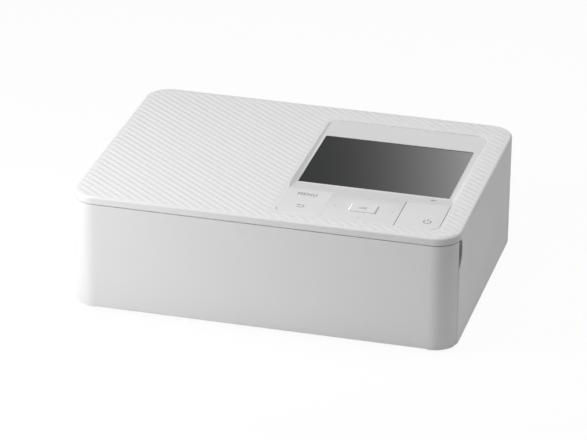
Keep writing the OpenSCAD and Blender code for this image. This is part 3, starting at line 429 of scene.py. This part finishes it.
# %% [markdown]
# ## The keys
# Three thin plates lie flush in the case. Their edges are rounded in the mould, which shows
# as a fine light or dark line at each gap. Each is a copy of its CAD part: the outline
# edges of its flat top are bevelled. The OK key stands a little prouder, and its two ends
# slope, so that a finger finds it. Its cap is polished, so the left end mirrors a bright strip.

# %% Key plates with rounded edges
def push(piece, axis, level, by):
    """Move the vertices that lie at one level along an axis, by a distance. In millimetres."""
    choose(piece, lambda co: abs(co[axis] - level * MM) < TINY)
    bpy.ops.transform.translate(value=[by * MM if k == axis else 0 for k in range(3)])
    bpy.ops.object.mode_set(mode="OBJECT")


OK = edges("ok_key")
# How far the gaps in front of and behind the keys close, and the thickness of the ink
SNUG, REAR = 0.18, 0.08
INK_H = 0.01
# For each key: how far it grows to the left and to the right, the radius of its edge, and
# how far in front of its rear edge the rounding ends
KEYS = {
    "menu_key": (0.24, SNUG, 0.6, 1),
    "arrow_key": (0.04, -0.06, 0.06, -1),
    "power_key": (-0.06, -0.08, 0.06, -1),
}


def at_rim(co, back):
    """True on the top edges of a key, in front of a line and outside the OK key's hole."""
    x, y = co.x / MM, co.y / MM
    by_ok = OK[0] - 1 < x < OK[1] + 1 and OK[2] - 1 < y < OK[3] + 1
    return co.z > (TOP - 0.01) * MM and y < back and not by_ok


for name, (left, right, radius, stop) in KEYS.items():
    key = copy_of(name)
    x0, x1, y0, y1 = edges(name)[:4]
    push(key, 0, x0, -left)
    push(key, 0, x1, right)
    push(key, 1, y0, -SNUG)
    push(key, 1, y1, REAR)
    choose(key, lambda co: at_rim(co, y1 - stop))
    bpy.ops.mesh.bevel(offset=radius * MM, segments=4, affect="EDGES")
    bpy.ops.object.mode_set(mode="OBJECT")
    finished(name + "_plate", name, "key_plastic", name)

# %% OK key with sloping ends
polished = finish("white_abs_polished", "#dfdfdf", 0.22, ior=1.54)
# Run of the sloping ends, and the level of their foot below the top of the case
SLOPE, FOOT = 0.9, 0.1
# The foot grows into the gap, the right end is steeper, and the long sides lean in a little
WIDER, STEEPER, LEAN = 0.11, 0.4, 0.1
key = copy_of("ok_key")
bpy.ops.object.mode_set(mode="EDIT")
bpy.ops.mesh.select_all(action="SELECT")
bpy.ops.mesh.bisect(plane_co=(0, 0, (TOP - FOOT) * MM), plane_no=(0, 0, 1))
bpy.ops.object.mode_set(mode="OBJECT")
push(key, 0, OK[0], -WIDER)
push(key, 1, OK[2], -WIDER)
push(key, 1, OK[3], WIDER)
narrow(key, OK[5], SLOPE, LEAN)
push(key, 0, OK[1] - SLOPE, STEEPER)
push(key, 2, OK[5], -2 * INK_H)
finished("ok_key_cap", "ok_key", "key_plastic", "ok_key", look=polished, crease=10)

# %% [markdown]
# ## Legends
# The legends are pad-printed in grey ink. Letters are text turned into a mesh, and the
# signs are made from circles and bars. They stand a hundredth of a millimetre high and
# move with their keys.

# %% Helpers for legends
INK = finish("grey_pad_print", "#606163", 0.6)
PALE_INK = finish("pale_grey_pad_print", "#bcbdbf", 0.6)
# The letters are drawn in by this much, so that their strokes stay thin, and spaced out
STROKE, SPACING = -0.005, 1.12


def words(text, x, y, z, size, tall=1.0):
    """Text in the middle of a place, as a thin mesh. Sizes in millimetres."""
    bpy.ops.object.text_add(location=(x * MM, y * MM, z * MM))
    letters = bpy.context.active_object
    letters.data.body = text
    letters.data.size = size * MM
    letters.data.align_x = "CENTER"
    letters.data.align_y = "CENTER"
    letters.data.extrude = INK_H * MM
    letters.data.offset = STROKE * MM
    letters.data.space_character = SPACING
    letters.scale = (1, tall, 1)
    bpy.ops.object.convert(target="MESH")
    return bpy.context.active_object


def bar(x, y, z, length, width, turn=0.0):
    """A thin bar with its middle at a place, turned by an angle in degrees."""
    bpy.ops.mesh.primitive_cube_add(size=1, location=(x * MM, y * MM, z * MM),
                                    rotation=(0, 0, math.radians(turn)))
    piece = bpy.context.active_object
    piece.scale = (length * MM, width * MM, 2 * INK_H * MM)
    return piece


def arrow_head(x, y, z, radius, turn):
    """A thin triangle that points in a direction, in degrees."""
    bpy.ops.mesh.primitive_cylinder_add(vertices=3, radius=radius * MM, depth=2 * INK_H * MM,
                                        location=(x * MM, y * MM, z * MM),
                                        rotation=(0, 0, math.radians(turn - 90)))
    return bpy.context.active_object


def arc(x, y, z, radius, width, start, end):
    """A thin ring, open between two angles in degrees, by spinning a small upright face."""
    angle = math.radians(start)
    edge_x = x + radius * math.cos(angle)
    edge_y = y + radius * math.sin(angle)
    bpy.ops.mesh.primitive_plane_add(size=1, location=(edge_x * MM, edge_y * MM, z * MM),
                                     rotation=(math.pi / 2, 0, angle))
    piece = bpy.context.active_object
    piece.scale = (width * MM, 2 * INK_H * MM, 1)
    bpy.ops.object.transform_apply(location=True, rotation=True, scale=True)
    bpy.ops.object.mode_set(mode="EDIT")
    bpy.ops.mesh.select_all(action="SELECT")
    bpy.ops.mesh.spin(steps=24, angle=math.radians(start - end), axis=(0, 0, 1),
                      center=(x * MM, y * MM, z * MM))
    bpy.ops.mesh.select_all(action="SELECT")
    bpy.ops.mesh.normals_make_consistent(inside=False)
    bpy.ops.object.mode_set(mode="OBJECT")
    return piece


def legend(name, body, *pieces, ink=INK, tilt=0.0, middle=(0, 0, 0)):
    """Join the pieces of one legend, tilt it about its middle and let it move with its key."""
    bpy.ops.object.select_all(action="DESELECT")
    for piece in pieces:
        piece.select_set(True)
    bpy.context.view_layer.objects.active = pieces[0]
    if len(pieces) > 1:
        bpy.ops.object.join()
    bpy.ops.transform.rotate(value=tilt, orient_axis="X", center_override=[v * MM for v in middle])
    finished(name, body, "dark_plastic", look=ink)


# %% Legends on the menu key
on_keys = TOP + INK_H
MENU, ARROWS, POWER = edges("menu_key"), edges("arrow_key"), edges("power_key")
# Size of the letters and how much taller than wide they are drawn
MENU_SIZE, MENU_TALL = 3.2, 1.25
menu_x = (MENU[0] + MENU[1]) / 2 - 0.4
word_y = MENU[3] - 5.025
# The return sign: a head, a short run, a half ring and a long run back, all of one line width
return_y = MENU[2] + 8.25
LINE, BEND, HEAD = 0.35, 1.1, 0.75
SHORT, LONG = 1.6, 2.3
HEAD_X, SHORT_X, BEND_X, LONG_X = -1.2, 0.1, 0.6, -0.4
legend("menu_legend", "menu_key",
       words("MENU", menu_x, word_y, on_keys, MENU_SIZE, MENU_TALL),
       arrow_head(menu_x + HEAD_X, return_y + BEND, on_keys, HEAD, 180),
       bar(menu_x + SHORT_X, return_y + BEND, on_keys, SHORT, LINE),
       arc(menu_x + BEND_X, return_y, on_keys, BEND, LINE, -90, 90),
       bar(menu_x + LONG_X, return_y - BEND, on_keys, LONG, LINE))

# %% Signs on the arrow key and letters on the OK key
# Radius of a sign, and how far each stands in from its edge: left, right, front and rear
SIGN = 0.8
INSET = (4.2, 3.4, 3.2, 2.4)
OK_SIZE, OK_TALL = 2.5, 1.1
arrows_x = (ARROWS[0] + ARROWS[1]) / 2
arrows_y = (ARROWS[2] + ARROWS[3]) / 2
signs = ((arrows_x, ARROWS[3] - INSET[3], 90), (arrows_x, ARROWS[2] + INSET[2], -90),
         (ARROWS[0] + INSET[0], arrows_y, 180), (ARROWS[1] - INSET[1], arrows_y, 0))
legend("arrow_legends", "arrow_key",
       *(arrow_head(x, y, on_keys, SIGN, turn) for x, y, turn in signs), ink=PALE_INK)
legend("ok_legend", "ok_key",
       words("OK", (OK[0] + OK[1]) / 2, (OK[2] + OK[3]) / 2, OK[5] - INK_H, OK_SIZE, OK_TALL))

# %% Wireless sign on the climb, and power sign
# Radii of the three waves, their line width, and half the angle they spread over
WAVES, WAVE_LINE, SPREAD = (0.7, 1.5, 2.3), 0.3, 45
icon_x, icon_y = POWER[1] - 9.4, WINDOW[2] - 6.0
icon = (icon_x, icon_y, climb_top - CLIMB * (icon_y - panel_front_edge) + 2 * INK_H)
legend("wireless_legend", "root",
       *(arc(*icon, radius, WAVE_LINE, 90 - SPREAD, 90 + SPREAD) for radius in WAVES),
       tilt=math.atan(CLIMB), middle=icon)
# The power sign is an open ring with a bar through its gap. Half the gap is given in degrees
RING, RING_LINE, OPEN = 1.7, 0.38, 35
BAR, BAR_UP = 1.9, 1.6
power_x, power_y = POWER[1] - 6.6, POWER[2] + 7.65
legend("power_legend", "power_key",
       arc(power_x, power_y, on_keys, RING, RING_LINE, 90 + OPEN, 450 - OPEN),
       bar(power_x, power_y + BAR_UP, on_keys, RING_LINE, BAR))

# %% [markdown]
# ## Floor, light and camera
# Two soft lamps stand in front on the left, a broad one hangs overhead and a small one
# stands on the right, and the world fills the shadows. Two cards, which only shiny faces
# reflect, give the screen its grey and the OK key its bright end. The floor is pale and
# plain and keeps a soft shadow.

# %% Floor
FLOOR_SIZE, FLOOR_GLOW = 8, 0.94
bpy.ops.mesh.primitive_plane_add(size=FLOOR_SIZE, location=(0, 0, low.z))
floor = bpy.context.active_object
floor.name = "floor"
floor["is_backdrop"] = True
white = finish("studio_floor", "#f6f6f6", 0.9)
rays = add(white, "ShaderNodeLightPath")
seen = add(white, "ShaderNodeMath", {"operation": "MAXIMUM"},
           {0: rays.outputs["Is Camera Ray"], 1: rays.outputs["Is Glossy Ray"]})
seen = add(white, "ShaderNodeMath", {"operation": "MAXIMUM"},
           {0: seen.outputs[0], 1: rays.outputs["Is Transmission Ray"]})
share = add(white, "ShaderNodeMath", {"operation": "MULTIPLY", 1: FLOOR_GLOW}, {0: seen.outputs[0]})
glow = add(white, "ShaderNodeEmission", {"Color": colour("#ffffff"), "Strength": 1.0})
mixed = add(white, "ShaderNodeMixShader", {},
            {0: share.outputs[0], 1: white.node_tree.nodes["Principled BSDF"].outputs[0],
             2: glow.outputs[0]})
white.node_tree.links.new(mixed.outputs[0], white.node_tree.nodes["Material Output"].inputs[0])
floor.data.materials.append(white)
print("floor at", round(low.z, 4), "m")

# %% World
WORLD_LIGHT = 0.02
scene = bpy.context.scene
world = bpy.data.worlds.new("studio_world")
scene.world = world
world.use_nodes = True
background = world.node_tree.nodes["Background"]
background.inputs["Color"].default_value = colour("#ffffff")
background.inputs["Strength"].default_value = WORLD_LIGHT
print("world strength", WORLD_LIGHT)

# %% Lamps
def softbox(name, place, aim, size, power):
    """A square lamp at a place, turned to its aim. Places in metres, power in watts."""
    bpy.ops.object.light_add(type="AREA", location=place)
    lamp = bpy.context.active_object
    lamp.name = name
    lamp.data.size = size
    lamp.data.energy = power
    lamp.rotation_euler = (Vector(aim) - Vector(place)).to_track_quat("-Z", "Y").to_euler()
    print(name, power, "W")


softbox("front_left_lamp", (-0.38, -0.32, 0.32), (-0.03, -0.03, 0.05), 0.15, 1.23)
softbox("side_left_lamp", (-0.36, -0.20, 0.24), (-0.05, 0.0, 0.05), 0.15, 0.68)
softbox("top_lamp", (0.0, 0.1, 1.3), (0, 0, 0), 1.0, 7.8)
softbox("right_lamp", (0.25, 0.05, 0.6), (0.08, 0, 0.05), 0.2, 0.96)

# %% Cards that only shiny faces reflect
CARD_LIGHT = 4.0
SIDE_SIZE, SIDE_PLACE = 0.2, Vector((-0.42, 0.62, 0.1))


def card(name, size, place, facing):
    """A glowing card at a place in metres, turned to face a direction. Returns its look."""
    bpy.ops.mesh.primitive_plane_add(size=size, location=place,
                                     rotation=Vector(facing).to_track_quat("Z", "Y").to_euler())
    piece = bpy.context.active_object
    piece.name = name
    piece.visible_camera = piece.visible_diffuse = piece.visible_shadow = False
    piece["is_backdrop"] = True
    look = finish(name + "_glow", "#000000", 0.9)
    light = add(look, "ShaderNodeEmission", {"Color": colour("#ffffff"), "Strength": CARD_LIGHT})
    look.node_tree.links.new(light.outputs[0], look.node_tree.nodes["Material Output"].inputs[0])
    piece.data.materials.append(look)
    print(name, "at", [round(v, 3) for v in place])
    return look, light


key_end = Vector((OK[0], (OK[2] + OK[3]) / 2, OK[5])) * MM
card("side_card", SIDE_SIZE, SIDE_PLACE, key_end - SIDE_PLACE)

# %% Card that the screen reflects
CAMERA = Vector((0.36973, -1.42606, 0.7136))
# The card stands where the camera sees it in the glass. Over twice this half width its glow
# climbs from dim to bright, slowly at first
CARD_SIZE, CARD_FAR = 0.4, 1.2
HALF, BULGE, BRIGHT, DIM = 0.075, 2.3, 2.3, 0.335
glass = Vector(((WINDOW[0] + WINDOW[1]) / 2, glass_y, glass_z)) * MM
ray = (glass - CAMERA).normalized()
ray.z = -ray.z
graded, light = card("screen_card", CARD_SIZE, glass + CARD_FAR * ray, -ray)
place = add(graded, "ShaderNodeTexCoord")
along = add(graded, "ShaderNodeSeparateXYZ", {}, {0: place.outputs["Object"]})
grade = add(graded, "ShaderNodeMapRange", {"From Min": -HALF, "From Max": HALF},
            {"Value": along.outputs["X"]})
bend = add(graded, "ShaderNodeMath", {"operation": "POWER", 1: BULGE}, {0: grade.outputs["Result"]})
power = add(graded, "ShaderNodeMath", {"operation": "MULTIPLY_ADD", 1: BRIGHT, 2: DIM},
            {0: bend.outputs[0]})
graded.node_tree.links.new(power.outputs[0], light.inputs["Strength"])

# %% Camera
AZIMUTH, ELEVATION, ROLL = math.radians(14.596), math.radians(24.999), math.radians(0.692)
SENSOR, LENS, FAR = 36.0, 211.02, 20.0
turn = Euler((math.pi / 2 - ELEVATION, 0, AZIMUTH)).to_matrix() @ Matrix.Rotation(ROLL, 3, "Z")
bpy.ops.object.camera_add(location=CAMERA, rotation=turn.to_euler())
camera = bpy.context.active_object
camera.data.sensor_width = SENSOR
camera.data.lens = LENS
camera.data.clip_end = FAR
scene.camera = camera
scene.view_settings.view_transform = "Standard"
print("lens", camera.data.lens)

# %% Bounds of the finished scene
low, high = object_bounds()
